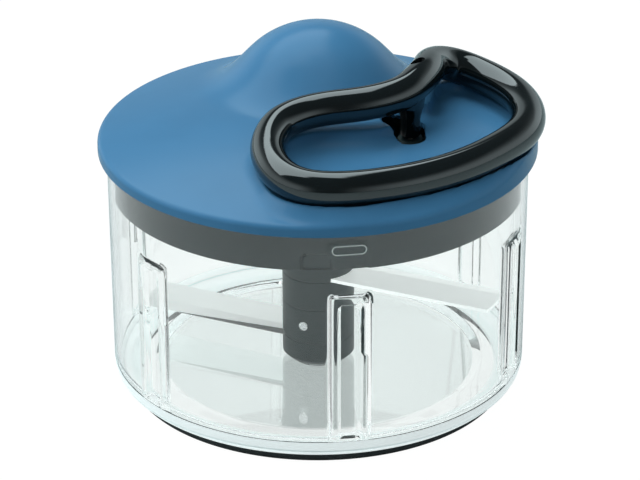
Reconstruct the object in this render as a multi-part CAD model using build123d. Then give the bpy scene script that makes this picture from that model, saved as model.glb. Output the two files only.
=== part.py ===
from build123d import *
from math import acos, atan2, cos, degrees, hypot, pi, radians, sin, sqrt, tan
import os

# Pull-cord food chopper: a clear bowl with a turning blade column, and a lid that
# holds a cord spool with its power spring.  Pulling the looped handle spins the blades.
# Millimetres.  Z is up, Z = 0 is the table, and the Z axis is the bowl's own axis.
# The user stands on the -Y side.

os.makedirs("parts", exist_ok=True)

# ---------------------------------------------------------------- clearances
RUN_FIT = 0.06             # radial play of a turning fit
SLIP_FIT = 0.15            # radial play of a part that is slid on by hand
FREE_GAP = 0.4             # air between parts that only pass each other
SEAT_GAP = 0.2             # air between a lifted part and its seat

# ---------------------------------------------------------------- main size
LID_R = 75.0               # the lid's outside radius, which the round parts follow

# ---------------------------------------------------------------- bowl
BOWL_INSET = 3.0           # how far the lid's skirt reaches past the bowl
BOWL_TOP_R = LID_R - BOWL_INSET
BOWL_TOP_Z = 87.2
BOWL_DRAFT_DEG = 0.5
BOWL_WALL = 2.0
BOWL_UNDER_Z = 3.2         # underside of the floor
BOWL_FLOOR_T = 3.5
BOWL_FLOOR_R = BOWL_TOP_R * 3 / 4    # flat middle of the floor
BOWL_STEP_H = 1.5          # raised ring between the flat and the wall
BOWL_STEP_W = 3.0          # width of the slope up to that ring
BOWL_OUT_CORNER_R = 5.5
BOWL_IN_CORNER_R = 4.5
BOWL_RIM_EDGE = 0.5        # chamfer of the rim

CHANNEL_COUNT = 6          # upright channels pressed into the wall
CHANNEL_FIRST_DEG = -81.6
CHANNEL_W = 12.0
CHANNEL_DEPTH = 2.0
CHANNEL_Z0 = 12.0
CHANNEL_Z1 = 61.0
CHANNEL_EDGE_R = 0.9
CHANNEL_WALL = 2.2         # plastic left behind a channel
CHANNEL_LIP = 1.8          # how far the inner rib reaches past the channel each way

LUG_COUNT = 3              # bayonet lugs on the inside of the rim
LUG_FIRST_DEG = -83.5
LUG_W = 8.0
LUG_H = 2.5
LUG_Z = 80.6
LUG_STAND = 0.8

FOOT_INSET = 5.6           # soft ring that the bowl stands on
FOOT_W = 6.8
FOOT_OUT_R = BOWL_TOP_R - FOOT_INSET
FOOT_IN_R = FOOT_OUT_R - FOOT_W
FOOT_TONGUE_W = 3.4
FOOT_TONGUE_H = 1.6
FOOT_EDGE = 0.8

PIN_R = 3.0                # steel pin that the blade column turns on
PIN_SUNK = 2.0             # how deep it is pressed into the floor
PIN_TOP_Z = 34.0
PIN_BOSS_R = 7.0
PIN_BOSS_TOP_Z = 12.0

# ---------------------------------------------------------------- blade column
HUB_R = 12.5
HUB_BOTTOM_Z = 8.0
HUB_FOOT_EDGE = 1.6        # chamfer of its lower edge
HUB_SEAM = 0.3             # chamfer that shows at each joint
HUB_TOP_Z = 72.0
HUB_MID_Z = 29.4           # joint between the two sleeves
CORE_R = 6.0
CORE_TOP_Z = 47.0

BLADE_T = 1.2
BLADE_W = 17.5
BLADE_TIP_GAP = 3.6        # between a blade's tip and the bowl's wall at the rim
BLADE_TIP_R = BOWL_TOP_R - BOWL_WALL - BLADE_TIP_GAP
BLADE_ROOT_R = 10.4
BLADE_BEVEL_W = 5.0
BLADE_EDGE_T = 0.25
BLADE_TIP_CHAMFER = 1.2
LOW_BLADE_Z = 16.4         # underside
LOW_BLADE_DEG = 155.5
HIGH_BLADE_Z = 40.3
HIGH_BLADE_DEG = -24.5

RIVET_R = 1.6
RIVET_Z = 23.3
RIVET_HEAD = 0.25          # how far a rivet stands proud of the sleeve

SOCKET_AF = 11.6           # hexagon across its flats
SOCKET_DEPTH = 9.0

# ---------------------------------------------------------------- lid
LID_UNDER_Z = BOWL_TOP_Z + SEAT_GAP
LID_EDGE_Z = 91.0          # top of the rim
LID_EDGE_R = 1.4
LID_CROWN_Z = 98.5         # top of the shallow crown, on the axis
LID_WALL = 2.4

DOME_R = 33.7              # palm dome, a part of a ball
DOME_Y = 30.0
DOME_Z = 83.6
DOME_BLEND_R = 5.0

COLLAR_WALL = 2.2          # dark base of the lid, inside the bowl's rim
COLLAR_R = BOWL_TOP_R - BOWL_WALL - FREE_GAP
COLLAR_LAND = 1.0          # how far the cover's inner wall stands inside the collar's
COLLAR_BOTTOM_Z = 73.2
COLLAR_EDGE = 0.5
DECK_Z = 74.7              # underside of the plate that carries the mechanism
DECK_T = 2.2
DECK_RIB_COUNT = 8
DECK_RIB_T = 1.2
SHROUD_WALL = 1.4          # ring under the deck, round the top of the column
SHROUD_BOTTOM_Z = 70.0
ENTRY_OFFSET_DEG = -7.4    # bayonet entry, counted from its lug
ENTRY_W = 10.0
ENTRY_H = 6.0
ENTRY_DEPTH = 1.5
ENTRY_CORNER_R = 2.0

SCREW_COUNT = 4
SCREW_INSET = 10.4         # from the collar's inner wall to the screws' circle
SCREW_FIRST_DEG = 45.0
SCREW_R = 1.5
SCREW_HEAD_R = 3.2
SCREW_HEAD_H = 2.0
SCREW_LENGTH = 10.0
BOSS_R = 3.8

# ---------------------------------------------------------------- handle
TUBE_R = 5.9
TUBE_SHARE = 0.47          # share of a leg that each rounded corner may use
HANDLE_CORNERS = [         # corners of the loop's centre line, rounded off later
    (-10.5, -62.0, 100.3),
    (9.0, -65.3, 99.4),
    (42.0, -52.5, 99.3),
    (66.0, -26.4, 99.4),
    (72.5, -7.0, 99.6),
    (68.0, 14.9, 99.8),
    (50.5, 33.0, 101.6),
    (39.5, 27.0, 106.0),
    (37.0, 9.0, 109.0),
    (26.0, -11.0, 107.6),
    (-10.0, -14.5, 105.2),
    (-18.5, -37.0, 102.2),
]
STUB_BOTTOM_Z = 90.6
STUB_LOW_R = 3.4
STUB_HIGH_R = 5.0
STUB_FLARE_H = 6.0
KNOT_POCKET_R = 2.4
KNOT_MOUTH = (32.6, 11.0, 113.6)

SEAT_R = 7.5               # round back of the raised seat under the handle
SEAT_DROP = 9.5            # how far the seat's centre line runs under the tube's
SEAT_TUBE_Z = 99.3         # lowest height of the tube's centre line
FLOOR_Z = 93.2             # flat finger floor inside the loop
FLOOR_INSET = 3.0          # its edge, counted from the tube's centre line
FLOOR_BAY_R = 12.0         # bay under the snout, round the cord stub
CORD_HOLE_R = 7.4          # tear-shaped hole: a wide end at the stub
CORD_HOLE_SMALL_R = 5.8    # and a narrow end towards the user
CORD_HOLE_LENGTH = 9.0
CORD_HOLE_LEFT = 2.4       # how far the wide end lies left of the stub's axis
CORD_HOLE_BACK = 1.0       # and behind it
CORD_HOLE_LEAN = 1.8       # how far the narrow end leans to the right

# ---------------------------------------------------------------- cord drive
CORD_R = 0.9
DRUM_R = 20.0
DRUM_WALL = 2.3
DRUM_Z = 78.8              # bottom of the cord groove
DRUM_H = 8.0
FLANGE_R = 25.0
FLANGE_T = 1.4
CORD_TURNS = 3             # turns that are wound on at rest
JOURNAL_R = 9.0
JOURNAL_BOTTOM_Z = 74.2
SPIGOT_PLAY = 0.3          # between the hexagon and its socket, on each flat
SPIGOT_BOTTOM_Z = 64.0
AXLE_R = 2.5
AXLE_TOP_Z = 94.6
AXLE_BOTTOM_Z = 70.0
AXLE_BOSS_R = 6.4
ARBOR_R = 4.8
ARBOR_TOP_Z = 89.6
WASHER_R = 12.0
WASHER_T = 0.4
SPRING_T = 0.5
SPRING_COILS = 7
SPRING_SIDE_GAP = 0.5      # air over and under the coiled strip
COVER_T = 0.9
COVER_LEDGE = 0.9
GUIDE_R = 5.0              # bush that turns the cord upwards
GUIDE_TOP_Z = 89.6
GUIDE_FOOT_R = 3.0
GUIDE_BEND_R = 5.4
GUIDE_BORE_R = 1.4

# ---------------------------------------------------------------- derived places
BOWL_FLOOR_Z = BOWL_UNDER_Z + BOWL_FLOOR_T
BOWL_IN_R = BOWL_TOP_R - BOWL_WALL
DECK_TOP_Z = DECK_Z + DECK_T
COLLAR_IN_R = COLLAR_R - COLLAR_WALL
LID_CAVITY_R = COLLAR_IN_R - COLLAR_LAND
SCREW_CIRCLE_R = COLLAR_IN_R - SCREW_INSET
FLANGE_Z = DRUM_Z - FLANGE_T
DRUM_TOP_Z = DRUM_Z + DRUM_H
SPOOL_TOP_Z = DRUM_TOP_Z + FLANGE_T
CHAMBER_R = DRUM_R - DRUM_WALL
CHAMBER_Z = DRUM_Z + FLANGE_T
CORD_Z = DRUM_Z + DRUM_H / 2
CROWN_BALL_R = (LID_R**2 + (LID_CROWN_Z - LID_EDGE_Z) ** 2) / (2 * (LID_CROWN_Z - LID_EDGE_Z))
CORE_BOTTOM_Z = PIN_BOSS_TOP_Z + SEAT_GAP
RIVET_DEG = HIGH_BLADE_DEG - 90


def bowl_radius(z):
    """Outside radius of the drafted wall at a height."""
    return BOWL_TOP_R - (BOWL_TOP_Z - z) * tan(radians(BOWL_DRAFT_DEG))


def crown_z(r):
    """Height of the lid's crown at a radius."""
    return LID_CROWN_Z - CROWN_BALL_R + sqrt(CROWN_BALL_R**2 - r**2)


def ring(r_in, r_out, z0, z1):
    """Plain ring or disc about the Z axis."""
    body = Pos(0, 0, z0) * extrude(Circle(r_out), z1 - z0)
    if r_in > 0:
        body -= Pos(0, 0, z0) * extrude(Circle(r_in), z1 - z0)
    return body


def polar(radius, angle_deg):
    return Vector(radius * cos(radians(angle_deg)), radius * sin(radians(angle_deg)), 0)


def angles(first_deg, count):
    return [first_deg + 360 * k / count for k in range(count)]


def turn_profile(points):
    """Revolve a closed outline of (radius, z) points about the Z axis."""
    outline = Polyline(*[(r, 0, z) for r, z in points], close=True)
    return revolve(make_face(outline), Axis.Z)


def radial_box(r0, r1, width, z0, z1, angle_deg):
    """Box from radius r0 to r1, centred on a direction."""
    body = Pos((r0 + r1) / 2, 0, (z0 + z1) / 2) * Box(r1 - r0, width, z1 - z0)
    return Rot(0, 0, angle_deg) * body


# ---------------------------------------------------------------- handle centre line
LOOP = [Vector(*corner) for corner in HANDLE_CORNERS]
CORD_TOP = (LOOP[8] + LOOP[9]) / 2     # middle of the snout, over the cord's stub
CORD_DISTANCE = hypot(CORD_TOP.X, CORD_TOP.Y)


def corner_radius(before, corner, after):
    """Largest tangent arc that uses only its share of the shorter leg."""
    back, ahead = before - corner, after - corner
    reach = TUBE_SHARE * min(back.length, ahead.length)
    return reach * tan(radians(back.get_angle(ahead)) / 2)


def rounded_path(points):
    """Straight legs joined by tangent arcs through a list of corners."""
    radii = [corner_radius(*points[i - 1 : i + 2]) for i in range(1, len(points) - 1)]
    return FilletPolyline(*points, radius=radii)


def loop_half(first, last):
    """Half of the closed loop, from the middle of one leg to the middle of another."""
    count = len(LOOP)
    start = (LOOP[first] + LOOP[(first + 1) % count]) / 2
    end = (LOOP[last % count] + LOOP[(last + 1) % count]) / 2
    inner = [LOOP[i % count] for i in range(first + 1, last + 1)]
    neighbours = [LOOP[first]] + inner + [LOOP[(last + 1) % count]]
    radii = [corner_radius(*neighbours[i : i + 3]) for i in range(len(inner))]
    return FilletPolyline(start, *inner, end, radius=radii)


def sweep_circle(path, radius):
    return sweep(Plane(origin=path @ 0, z_dir=path % 0) * Circle(radius), path=path)


def loop_tube(radius):
    """Closed tube along the handle's centre line."""
    half = len(LOOP) // 2
    return sweep_circle(loop_half(0, half), radius) + sweep_circle(loop_half(half, 2 * half), radius)


def flat_loop():
    """The loop's corners seen from above, with the radius of each rounded corner."""
    flat = [Vector(p.X, p.Y, 0) for p in LOOP]
    count = len(flat)
    radii = [corner_radius(flat[i - 1], flat[i], flat[(i + 1) % count]) for i in range(count)]
    return flat, radii


def loop_outline():
    flat, radii = flat_loop()
    return FilletPolyline(*flat, radius=radii, close=True)


# ---------------------------------------------------------------- bowl and foot
def bowl():
    base_r = bowl_radius(BOWL_UNDER_Z)
    ring_z = BOWL_FLOOR_Z + BOWL_STEP_H
    in_r = bowl_radius(ring_z) - BOWL_WALL
    with BuildPart() as shell:
        with BuildSketch(Plane.XZ) as section:
            with BuildLine():
                Polyline(
                    (0, BOWL_UNDER_Z),
                    (base_r, BOWL_UNDER_Z),
                    (BOWL_TOP_R, BOWL_TOP_Z),
                    (BOWL_IN_R, BOWL_TOP_Z),
                    (in_r, ring_z),
                    (BOWL_FLOOR_R + BOWL_STEP_W, ring_z),
                    (BOWL_FLOOR_R, BOWL_FLOOR_Z),
                    (0, BOWL_FLOOR_Z),
                    close=True,
                )
            make_face()
            corner = section.vertices()
            fillet(corner.sort_by_distance((base_r, BOWL_UNDER_Z))[0], BOWL_OUT_CORNER_R)
            corner = section.vertices()
            fillet(corner.sort_by_distance((in_r, ring_z))[0], BOWL_IN_CORNER_R)
            corner = section.vertices()
            chamfer(corner.sort_by_distance((BOWL_TOP_R, BOWL_TOP_Z))[0], BOWL_RIM_EDGE)
        revolve(axis=Axis.Z)
    body = shell.part
    body += ring(0, PIN_BOSS_R, BOWL_FLOOR_Z - BOWL_FLOOR_T / 2, PIN_BOSS_TOP_Z)
    body -= ring(0, PIN_R, BOWL_FLOOR_Z - PIN_SUNK, PIN_BOSS_TOP_Z)
    body -= foot_tongue()
    for angle in angles(CHANNEL_FIRST_DEG, CHANNEL_COUNT):
        body += channel_rib(angle)
    for angle in angles(CHANNEL_FIRST_DEG, CHANNEL_COUNT):
        body -= channel_cut(angle)
    for angle in angles(LUG_FIRST_DEG, LUG_COUNT):
        body += bayonet_lug(angle)
    return body


def channel_floor_r():
    """Distance of a channel's flat bottom from the bowl's axis."""
    return bowl_radius(CHANNEL_Z0) - CHANNEL_DEPTH


def channel_cut(angle):
    inner = channel_floor_r()
    outer = BOWL_TOP_R + BOWL_WALL
    cut = radial_box(inner, outer, CHANNEL_W, CHANNEL_Z0, CHANNEL_Z1, 0)
    near = cut.faces().sort_by(Axis.X)[0]
    return Rot(0, 0, angle) * fillet(near.edges(), CHANNEL_EDGE_R)


def channel_rib(angle):
    inner = channel_floor_r() - CHANNEL_WALL
    outer = BOWL_IN_R + BOWL_WALL / 2
    top = CHANNEL_Z1 + 2 * CHANNEL_LIP
    rib = radial_box(inner, outer, CHANNEL_W + 2 * CHANNEL_LIP, BOWL_FLOOR_Z, top, 0)
    near = rib.faces().sort_by(Axis.X)[0]
    sides = near.edges().filter_by(Axis.Z) + near.edges().sort_by(Axis.Z)[-1:]
    return Rot(0, 0, angle) * fillet(sides, CHANNEL_EDGE_R)


def bayonet_lug(angle):
    z0, z1 = LUG_Z - LUG_H / 2, LUG_Z + LUG_H / 2
    lug = radial_box(BOWL_IN_R - LUG_STAND, BOWL_IN_R + BOWL_WALL / 2, LUG_W, z0, z1, 0)
    ends = lug.edges().filter_by(Axis.X)
    return Rot(0, 0, angle) * fillet(ends, LUG_H * 0.4)


def foot_tongue():
    middle = (FOOT_IN_R + FOOT_OUT_R) / 2
    half = FOOT_TONGUE_W / 2
    return ring(middle - half, middle + half, BOWL_UNDER_Z, BOWL_UNDER_Z + FOOT_TONGUE_H)


def foot_ring():
    pad = ring(FOOT_IN_R, FOOT_OUT_R, 0, BOWL_UNDER_Z)
    pad = chamfer(pad.edges().group_by(Axis.Z)[0], FOOT_EDGE)
    return pad + foot_tongue()


def pivot_pin():
    pin = ring(0, PIN_R, BOWL_FLOOR_Z - PIN_SUNK, PIN_TOP_Z)
    return chamfer(pin.edges().group_by(Axis.Z)[-1], PIN_R * 0.3)


# ---------------------------------------------------------------- blade column
def blade(z, angle):
    """Flat blade: a ring round the core and a strip ground on its leading edge."""
    half = BLADE_W / 2
    section = Plane.YZ * make_face(
        Polyline(
            (-half, 0),
            (half, 0),
            (half, BLADE_EDGE_T),
            (half - BLADE_BEVEL_W, BLADE_T),
            (-half, BLADE_T),
            close=True,
        )
    )
    strip = extrude(section, BLADE_TIP_R)
    tip = fillet(strip.edges().filter_by(Axis.Z).sort_by(Axis.X)[-2:], BLADE_TIP_CHAMFER)
    body = tip + ring(0, BLADE_ROOT_R, 0, BLADE_T)
    body &= ring(0, BLADE_TIP_R, 0, BLADE_T)
    body -= ring(0, CORE_R + SLIP_FIT, 0, BLADE_T)
    return Pos(0, 0, z) * Rot(0, 0, angle) * body


def blade_pocket(z, angle):
    """Room for a blade's root and strip in the end of a sleeve."""
    height = BLADE_T + SLIP_FIT
    slot = radial_box(0, HUB_R + 1, BLADE_W + 2 * SLIP_FIT, z, z + height, angle)
    return slot + ring(0, BLADE_ROOT_R + SLIP_FIT, z, z + height)


def sleeve(z0, z1):
    body = ring(CORE_R + SLIP_FIT, HUB_R, z0, z1)
    rims = body.edges().filter_by(lambda e: e.length > 6 * HUB_R)
    return chamfer(rims, HUB_SEAM)


def hub_foot():
    body = ring(CORE_R + SLIP_FIT, HUB_R, HUB_BOTTOM_Z, LOW_BLADE_Z)
    outer = body.edges().filter_by(lambda e: e.length > 6 * HUB_R)
    body = chamfer(outer.sort_by(Axis.Z)[0], HUB_FOOT_EDGE)
    return body - ring(0, PIN_BOSS_R + FREE_GAP, HUB_BOTTOM_Z, PIN_BOSS_TOP_Z + SEAT_GAP)


def hub_lower_sleeve():
    body = sleeve(LOW_BLADE_Z, HUB_MID_Z) - blade_pocket(LOW_BLADE_Z, LOW_BLADE_DEG)
    return body - rivet_rods(0)


def hub_upper_sleeve():
    return sleeve(HUB_MID_Z, HIGH_BLADE_Z)


def hub_top():
    body = ring(0, HUB_R, HIGH_BLADE_Z, HUB_TOP_Z)
    body = chamfer(body.edges().group_by(Axis.Z)[0] + body.edges().group_by(Axis.Z)[-1], HUB_SEAM)
    body -= ring(0, CORE_R + SLIP_FIT, HIGH_BLADE_Z, CORE_TOP_Z + SLIP_FIT)
    body -= blade_pocket(HIGH_BLADE_Z, HIGH_BLADE_DEG)
    return body - hexagon(SOCKET_AF, HUB_TOP_Z - SOCKET_DEPTH, HUB_TOP_Z)


def hexagon(across_flats, z0, z1):
    outline = RegularPolygon(across_flats / 2, 6, major_radius=False)
    return Pos(0, 0, z0) * extrude(outline, z1 - z0)


def hub_core():
    body = ring(0, CORE_R, CORE_BOTTOM_Z, CORE_TOP_Z)
    body -= ring(0, PIN_R + RUN_FIT, CORE_BOTTOM_Z, PIN_TOP_Z + FREE_GAP)
    return body - rivet_rods(0)


def rivet_rods(proud):
    """Two rods across the column, square to the blades, stopped short of the pin."""
    start = PIN_R + FREE_GAP
    rod = Plane.YZ.offset(start) * Circle(RIVET_R)
    rod = extrude(rod, HUB_R + proud - start)
    both = [Pos(0, 0, RIVET_Z) * Rot(0, 0, a) * rod for a in angles(RIVET_DEG, 2)]
    return both[0] + both[1]


# ---------------------------------------------------------------- lid
def crown(drop, radius):
    """Everything under the crown, lowered by drop, out to a radius."""
    bottom = LID_UNDER_Z
    edge = (radius, crown_z(radius) - drop)
    top = (0, LID_CROWN_Z - drop)
    middle_r = radius / 2
    middle = (middle_r, crown_z(middle_r) - drop)
    with BuildPart() as body:
        with BuildSketch(Plane.XZ):
            with BuildLine():
                Polyline(top, (0, bottom), (radius, bottom), edge)
                ThreePointArc(edge, middle, top)
            make_face()
        revolve(axis=Axis.Z)
    return body.part


def dome(wall):
    ball = Pos(0, DOME_Y, DOME_Z) * Sphere(DOME_R - wall)
    return ball & ring(0, 2 * LID_R, LID_UNDER_Z, DOME_Z + 2 * DOME_R)


def on_dome_foot(edge):
    """True for the edges where the dome meets the crown."""
    middle = edge @ 0.5
    inside = hypot(middle.X, middle.Y - DOME_Y) < DOME_R
    height = (edge @ 0.3).Z
    return inside and LID_EDGE_Z < height < LID_CROWN_Z and edge.length > DOME_R / 2


def seat_section():
    """Cross-section of the seat: a round back with the handle's groove in its top."""
    groove_r = TUBE_R + FREE_GAP
    rise = (SEAT_DROP**2 + SEAT_R**2 - groove_r**2) / (2 * SEAT_DROP)
    half = sqrt(SEAT_R**2 - rise**2)
    low = SEAT_TUBE_Z - SEAT_DROP
    back = Pos(0, low) * Circle(SEAT_R)
    groove = Pos(0, SEAT_TUBE_Z) * Circle(groove_r)
    keep = Pos(SEAT_R / 2 - FLOOR_INSET / 2 - half / 4, low + SEAT_R / 2)
    return (back - groove) & keep * Rectangle(SEAT_R + FLOOR_INSET + half / 2, 2 * SEAT_R)


def handle_seat():
    """Raised seat that follows the handle until the crown rises over it."""
    flat, radii = flat_loop()
    order = [6, 5, 4, 3, 2, 1, 0, 11]
    start = (flat[6] + flat[7]) / 2
    end = (flat[11] + flat[10]) / 2
    path = FilletPolyline(start, *[flat[i] for i in order], end, radius=[radii[i] for i in order])
    across = Vector(0, 0, 1).cross(path % 0)
    plane = Plane(origin=path @ 0, x_dir=across, z_dir=path % 0)
    bead = sweep(plane * seat_section(), path=path)
    return bead & ring(0, LID_R - FREE_GAP, LID_UNDER_Z, LID_CROWN_Z)


def floor_outline(extra):
    """Finger floor inside the loop, with a bay for the cord stub."""
    inside = offset(make_face(loop_outline()), amount=extra - FLOOR_INSET)
    bay = Pos(CORD_TOP.X, CORD_TOP.Y) * Circle(FLOOR_BAY_R + extra)
    return inside + bay


def floor_room():
    """Space over the finger floor."""
    return Pos(0, 0, FLOOR_Z) * extrude(floor_outline(0), DOME_R)


def floor_block():
    """Wall under and round the finger floor."""
    return Pos(0, 0, FLOOR_Z - LID_WALL) * extrude(floor_outline(LID_WALL), 2 * DOME_R)


def cord_hole():
    """Tear-shaped hole that lets the stub down to the cord bush."""
    x, y = CORD_TOP.X - CORD_HOLE_LEFT, CORD_TOP.Y + CORD_HOLE_BACK
    wide = Pos(x, y) * Circle(CORD_HOLE_R)
    small = Pos(x + CORD_HOLE_LEAN, y - CORD_HOLE_LENGTH) * Circle(CORD_HOLE_SMALL_R)
    return Pos(0, 0, LID_UNDER_Z) * extrude(make_hull((wide + small).edges()), LID_CROWN_Z - LID_UNDER_Z)


def screw_places():
    return [polar(SCREW_CIRCLE_R, a) for a in angles(SCREW_FIRST_DEG, SCREW_COUNT)]


def cover_bosses():
    top = LID_CROWN_Z
    bosses = ring(0, AXLE_BOSS_R, ARBOR_TOP_Z, top)
    for place in screw_places():
        bosses += Pos(place) * ring(0, BOSS_R, DECK_TOP_Z, top)
    return bosses


def lid_cover():
    skin = crown(0, LID_R)
    rim = skin.edges().filter_by(lambda e: e.length > 2 * LID_R and (e @ 0).Z > LID_UNDER_Z + 1)
    skin = fillet(rim, LID_EDGE_R) + dome(0)
    skin = fillet(skin.edges().filter_by(on_dome_foot), DOME_BLEND_R)
    outer = skin + handle_seat() - floor_room()
    void = crown(LID_WALL, LID_CAVITY_R) + dome(LID_WALL) - floor_block()
    body = outer - void
    body += cover_bosses() & crown(LID_WALL / 2, LID_CAVITY_R)
    body -= cord_hole()
    body -= ring(0, AXLE_R, ARBOR_TOP_Z, AXLE_TOP_Z)
    for place in screw_places():
        body -= Pos(place) * ring(0, SCREW_R, DECK_TOP_Z, DECK_Z + SCREW_LENGTH)
    return body


def lid_base():
    """Dark collar, deck plate and the ring round the column's top."""
    collar = ring(COLLAR_IN_R, COLLAR_R, COLLAR_BOTTOM_Z, LID_UNDER_Z)
    rim = collar.edges().group_by(Axis.Z)[0]
    body = chamfer(rim, COLLAR_EDGE)
    body += ring(JOURNAL_R + RUN_FIT, COLLAR_IN_R, DECK_Z, DECK_TOP_Z)
    shroud_r = HUB_R + 2 * FREE_GAP
    body += ring(shroud_r, shroud_r + SHROUD_WALL, SHROUD_BOTTOM_Z, DECK_Z)
    for angle in angles(SCREW_FIRST_DEG / 2, DECK_RIB_COUNT):
        inner, outer = shroud_r + SHROUD_WALL / 2, COLLAR_IN_R + COLLAR_WALL / 2
        body += radial_box(inner, outer, DECK_RIB_T, COLLAR_BOTTOM_Z + COLLAR_EDGE, DECK_Z, angle)
    for angle in angles(LUG_FIRST_DEG, LUG_COUNT):
        body -= bayonet_entry(angle)
    for place in screw_places():
        body -= Pos(place) * ring(0, SCREW_R + SLIP_FIT, DECK_Z, DECK_TOP_Z)
        body -= Pos(place) * ring(0, SCREW_HEAD_R + SLIP_FIT, DECK_Z, DECK_Z + SCREW_HEAD_H / 2)
    return body - Pos(CORD_TOP.X, CORD_TOP.Y) * ring(0, GUIDE_FOOT_R, DECK_Z, DECK_TOP_Z)


def bayonet_entry(angle):
    """Arch-shaped entry beside a lug, and the shallow way in which the lug lifts out."""
    far = BOWL_TOP_R
    low = COLLAR_BOTTOM_Z - 1
    arch = radial_box(COLLAR_R - ENTRY_DEPTH, far, ENTRY_W, low, COLLAR_BOTTOM_Z + ENTRY_H, 0)
    arch = fillet(arch.edges().filter_by(Axis.X).group_by(Axis.Z)[-1], ENTRY_CORNER_R)
    high = LUG_Z + LUG_H / 2 + FREE_GAP
    stand = BOWL_IN_R - LUG_STAND - FREE_GAP
    way = radial_box(stand, far, LUG_W + 3 * FREE_GAP, low, high, 0)
    way = fillet(way.edges().filter_by(Axis.X).group_by(Axis.Z)[-1], LUG_H * 0.4)
    return Rot(0, 0, angle) * way + Rot(0, 0, angle + ENTRY_OFFSET_DEG) * arch


def housing_screws():
    head_z = DECK_Z + SCREW_HEAD_H / 2
    head = ring(0, SCREW_HEAD_R, head_z - SCREW_HEAD_H, head_z)
    head = chamfer(head.edges().group_by(Axis.Z)[0], SCREW_HEAD_H * 0.3)
    head -= Pos(0, 0, head_z - SCREW_HEAD_H) * Box(SCREW_HEAD_R, SCREW_R / 2, SCREW_HEAD_H)
    head -= Pos(0, 0, head_z - SCREW_HEAD_H) * Box(SCREW_R / 2, SCREW_HEAD_R, SCREW_HEAD_H)
    screw = head + ring(0, SCREW_R, head_z, DECK_Z + SCREW_LENGTH)
    return Compound([Pos(place) * screw for place in screw_places()])


# ---------------------------------------------------------------- cord drive
def spool():
    """Cord drum with its spring chamber, journal and hexagon spigot in one piece."""
    body = ring(0, FLANGE_R, FLANGE_Z, DRUM_Z)
    body += ring(0, DRUM_R, DRUM_Z, DRUM_TOP_Z)
    body += ring(0, FLANGE_R, DRUM_TOP_Z, SPOOL_TOP_Z)
    body += ring(0, JOURNAL_R, JOURNAL_BOTTOM_Z, FLANGE_Z)
    body += hexagon(SOCKET_AF - 2 * SPIGOT_PLAY, SPIGOT_BOTTOM_Z, JOURNAL_BOTTOM_Z)
    body -= ring(0, CHAMBER_R, CHAMBER_Z, SPOOL_TOP_Z)
    body -= ring(0, CHAMBER_R + COVER_LEDGE, SPOOL_TOP_Z - COVER_T, SPOOL_TOP_Z)
    return body - ring(0, AXLE_R + RUN_FIT, AXLE_BOTTOM_Z - FREE_GAP, CHAMBER_Z)


def spring_cover():
    outer = CHAMBER_R + COVER_LEDGE - SLIP_FIT
    return ring(ARBOR_R + FREE_GAP, outer, SPOOL_TOP_Z - COVER_T, SPOOL_TOP_Z)


def cord_winding():
    """Turns of cord lying side by side in the groove, as one ribbed ring."""
    pitch = 2 * CORD_R
    low = CORD_Z - CORD_TURNS * pitch / 2
    middle_r = DRUM_R + CORD_R + RUN_FIT
    body = ring(DRUM_R + RUN_FIT, middle_r, low, low + CORD_TURNS * pitch)
    for turn in range(CORD_TURNS):
        rib = Pos(0, 0, low + (turn + 0.5) * pitch) * Torus(middle_r, CORD_R)
        body += rib & ring(DRUM_R + RUN_FIT, FLANGE_R, DRUM_Z, DRUM_TOP_Z)
    return body


def lid_axle():
    return ring(0, AXLE_R, AXLE_BOTTOM_Z, AXLE_TOP_Z)


def spring_arbor():
    return ring(AXLE_R, ARBOR_R, CHAMBER_Z + FREE_GAP, ARBOR_TOP_Z)


def power_spring():
    """Flat strip coiled from the arbor to the chamber wall, as half turns of growing radius."""
    z0 = CHAMBER_Z + SPRING_SIDE_GAP
    height = SPOOL_TOP_Z - COVER_T - SPRING_SIDE_GAP - z0
    first = ARBOR_R + SPRING_T / 2
    last = CHAMBER_R - FREE_GAP - SPRING_T
    halves = 2 * SPRING_COILS
    step = (last - first) / (halves - 1)
    strip = None
    for k in range(halves):
        radius = first + k * step
        centre = -step / 2 if k % 2 else 0
        sector = Circle(radius + SPRING_T / 2) - Circle(radius - SPRING_T / 2)
        side = 1 if k % 2 else -1
        keep = Pos(0, side * FLANGE_R) * Rectangle(4 * FLANGE_R, 2 * FLANGE_R)
        piece = (Pos(centre, 0) * sector) & keep
        strip = piece if strip is None else strip + piece
    print("power spring: least gap between coils %.2f mm" % (2 * step - SPRING_T))
    return Pos(0, 0, z0) * extrude(strip, height)


def thrust_washer():
    return ring(JOURNAL_R + SLIP_FIT, WASHER_R, DECK_TOP_Z, DECK_TOP_Z + WASHER_T)


def cord_path(start_share, end_z):
    """Cord from the drum, level to the bush, then straight up the handle's stub."""
    wound_r = DRUM_R + CORD_R
    swing = degrees(acos(wound_r / CORD_DISTANCE))
    aim = degrees(atan2(CORD_TOP.Y, CORD_TOP.X))
    leave = polar(wound_r, aim - swing) + Vector(0, 0, CORD_Z)
    bend = Vector(CORD_TOP.X, CORD_TOP.Y, CORD_Z)
    start = leave + (bend - leave) * start_share
    top = Vector(CORD_TOP.X, CORD_TOP.Y, end_z)
    return FilletPolyline(start, bend, top, radius=[GUIDE_BEND_R])


def cord_run():
    """Stretch of cord that is clear of the drum, up to the knot."""
    wound_r = DRUM_R + CORD_R
    clear_r = wound_r + 2 * CORD_R + FREE_GAP
    level = sqrt(CORD_DISTANCE**2 - wound_r**2)
    share = sqrt(clear_r**2 - wound_r**2) / level
    path = cord_path(share, CORD_TOP.Z - KNOT_POCKET_R)
    print("cord run: length %.1f mm, bend radius %.1f mm" % (path.length, GUIDE_BEND_R))
    return sweep_circle(path, CORD_R)


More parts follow.
